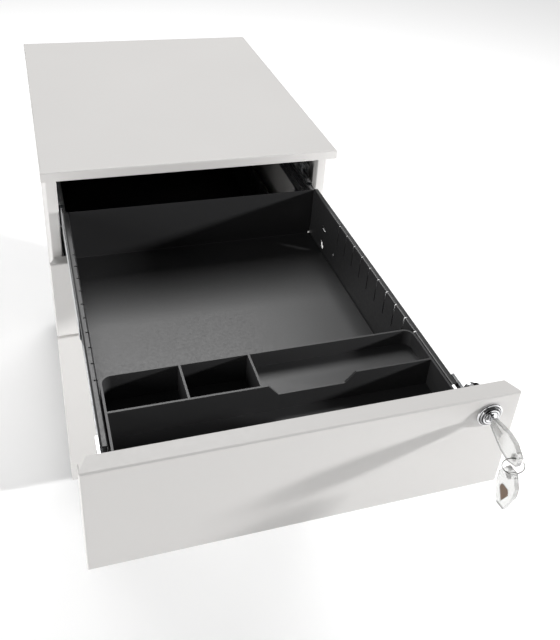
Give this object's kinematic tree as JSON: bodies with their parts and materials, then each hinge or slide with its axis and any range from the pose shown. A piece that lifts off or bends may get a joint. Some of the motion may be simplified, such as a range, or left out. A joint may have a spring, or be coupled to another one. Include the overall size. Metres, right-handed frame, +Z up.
{
  "type": "mobile filing cabinet",
  "caption": "Mobile steel pedestal cabinet: box drawers over a file drawer on ball slides, with a keyed cam lock, a lift-out pen tray and twin-wheel castors.",
  "frame": {"origin": "on the floor under the middle of the bounding box, with the top drawer open at its stop", "axes": "+X to the right as seen from the front, +Y from the fronts to the back, +Z up"},
  "size_m": [0.4, 1.0408, 0.608],
  "materials": {
    "white_coat": "fine satin powder coat",
    "black_coat": "semi-gloss black coat",
    "zinc_plated": "zinc plated, lightly brushed",
    "chrome": "polished",
    "bronze": "dark bronzed metal",
    "tray_plastic": "fine moulded grain",
    "clear_plastic": "clear moulded",
    "castor_plastic": "moulded nylon"
  },
  "bodies": {
    "cabinet": {"back_panel": "white_coat", "base_panel": "white_coat", "bottom_slide_cabinet_member_left": "zinc_plated", "bottom_slide_cabinet_member_right": "zinc_plated", "front_post_left": "zinc_plated", "front_post_right": "zinc_plated", "front_top_rail": "white_coat", "middle_slide_cabinet_member_left": "zinc_plated", "middle_slide_cabinet_member_right": "zinc_plated", "rear_post_left": "zinc_plated", "rear_post_right": "zinc_plated", "side_panel_left": "white_coat", "side_panel_right": "white_coat", "top_panel": "white_coat", "top_slide_cabinet_member_left": "zinc_plated", "top_slide_cabinet_member_right": "zinc_plated"},
    "top_drawer": {"top_drawer_body": "black_coat", "top_drawer_front": "white_coat", "top_drawer_side_left": "black_coat", "top_drawer_side_right": "black_coat", "top_slide_drawer_member_left": "zinc_plated", "top_slide_drawer_member_right": "zinc_plated", "lock_housing": "chrome"},
    "top_slides": {"top_slide_middle_member_left": "zinc_plated", "top_slide_middle_member_right": "zinc_plated"},
    "middle_drawer": {"middle_drawer_body": "black_coat", "middle_drawer_front": "white_coat", "middle_drawer_side_left": "black_coat", "middle_drawer_side_right": "black_coat", "middle_slide_drawer_member_left": "zinc_plated", "middle_slide_drawer_member_right": "zinc_plated"},
    "middle_slides": {"middle_slide_middle_member_left": "zinc_plated", "middle_slide_middle_member_right": "zinc_plated"},
    "bottom_drawer": {"bottom_drawer_body": "black_coat", "bottom_drawer_front": "white_coat", "bottom_drawer_side_left": "black_coat", "bottom_drawer_side_right": "black_coat", "bottom_slide_drawer_member_left": "zinc_plated", "bottom_slide_drawer_member_right": "zinc_plated"},
    "bottom_slides": {"bottom_slide_middle_member_left": "zinc_plated", "bottom_slide_middle_member_right": "zinc_plated"},
    "pen_tray": {"pen_tray": "tray_plastic"},
    "lock_plug": {"lock_plug": "chrome", "lock_cam": "zinc_plated", "key_blade": "chrome", "key_head": "clear_plastic"},
    "key_ring": {"key_ring": "chrome"},
    "spare_key": {"spare_key_insert": "bronze", "spare_key_head": "clear_plastic"},
    "lock_bar": {"lock_bar": "zinc_plated"},
    "castor_front_left": {"castor_hood_front_left": "castor_plastic"},
    "wheels_front_left": {"castor_wheels_front_left": "castor_plastic"},
    "castor_front_right": {"castor_hood_front_right": "castor_plastic"},
    "wheels_front_right": {"castor_wheels_front_right": "castor_plastic"},
    "castor_rear_left": {"castor_hood_rear_left": "castor_plastic"},
    "wheels_rear_left": {"castor_wheels_rear_left": "castor_plastic"},
    "castor_rear_right": {"castor_hood_rear_right": "castor_plastic"},
    "wheels_rear_right": {"castor_wheels_rear_right": "castor_plastic"}
  },
  "joints": [
    {"name": "top_drawer_slide", "type": "slide", "parent": "cabinet", "child": "top_drawer", "axis": [0, -1, 0], "range_m": [-0.48, 0]},
    {"name": "top_slides_slide", "type": "slide", "parent": "cabinet", "child": "top_slides", "axis": [0, -1, 0], "range_m": [-0.24, 0]},
    {"name": "middle_drawer_slide", "type": "slide", "parent": "cabinet", "child": "middle_drawer", "axis": [0, -1, 0], "range_m": [0, 0.48]},
    {"name": "middle_slides_slide", "type": "slide", "parent": "cabinet", "child": "middle_slides", "axis": [0, -1, 0], "range_m": [0, 0.24]},
    {"name": "bottom_drawer_slide", "type": "slide", "parent": "cabinet", "child": "bottom_drawer", "axis": [0, -1, 0], "range_m": [0, 0.48]},
    {"name": "bottom_slides_slide", "type": "slide", "parent": "cabinet", "child": "bottom_slides", "axis": [0, -1, 0], "range_m": [0, 0.24]},
    {"name": "pen_tray_lift", "type": "slide", "parent": "top_drawer", "child": "pen_tray", "axis": [0, 0, 1], "range_m": [0, 0.04]},
    {"name": "lock_turn", "type": "hinge", "parent": "top_drawer", "child": "lock_plug", "pos_m": [0.1685, -0.45956, 0.572], "axis": [0, -1, 0], "range_deg": [0, 90]},
    {"name": "key_ring_swing", "type": "hinge", "parent": "lock_plug", "child": "key_ring", "pos_m": [0.1685, -0.50827, 0.56526], "axis": [1, 0, 0], "range_deg": [-25, 25]},
    {"name": "spare_key_swing", "type": "hinge", "parent": "key_ring", "child": "spare_key", "pos_m": [0.1685, -0.50827, 0.54576], "axis": [0.9962, 0.0872, 0], "range_deg": [-25, 25]},
    {"name": "lock_bar_lift", "type": "slide", "parent": "cabinet", "child": "lock_bar", "axis": [0, 0, 1], "range_m": [0, 0.008]},
    {"name": "castor_front_left_swivel", "type": "hinge", "parent": "cabinet", "child": "castor_front_left", "pos_m": [-0.16, 0.07044, 0.06], "axis": [0, 0, 1], "continuous": true},
    {"name": "wheels_front_left_roll", "type": "hinge", "parent": "castor_front_left", "child": "wheels_front_left", "pos_m": [-0.16, 0.08844, 0.0225], "axis": [1, 0, 0], "continuous": true},
    {"name": "castor_front_right_swivel", "type": "hinge", "parent": "cabinet", "child": "castor_front_right", "pos_m": [0.16, 0.07044, 0.06], "axis": [0, 0, 1], "continuous": true},
    {"name": "wheels_front_right_roll", "type": "hinge", "parent": "castor_front_right", "child": "wheels_front_right", "pos_m": [0.16, 0.08844, 0.0225], "axis": [1, 0, 0], "continuous": true},
    {"name": "castor_rear_left_swivel", "type": "hinge", "parent": "cabinet", "child": "castor_rear_left", "pos_m": [-0.16, 0.47044, 0.06], "axis": [0, 0, 1], "continuous": true},
    {"name": "wheels_rear_left_roll", "type": "hinge", "parent": "castor_rear_left", "child": "wheels_rear_left", "pos_m": [-0.16, 0.48844, 0.0225], "axis": [1, 0, 0], "continuous": true},
    {"name": "castor_rear_right_swivel", "type": "hinge", "parent": "cabinet", "child": "castor_rear_right", "pos_m": [0.16, 0.47044, 0.06], "axis": [0, 0, 1], "continuous": true},
    {"name": "wheels_rear_right_roll", "type": "hinge", "parent": "castor_rear_right", "child": "wheels_rear_right", "pos_m": [0.16, 0.48844, 0.0225], "axis": [1, 0, 0], "continuous": true}
  ],
  "couplings": [
    {"joint": "top_slides_slide", "follows": "top_drawer_slide", "ratio": 0.5},
    {"joint": "middle_slides_slide", "follows": "middle_drawer_slide", "ratio": 0.5},
    {"joint": "bottom_slides_slide", "follows": "bottom_drawer_slide", "ratio": 0.5}
  ]
}
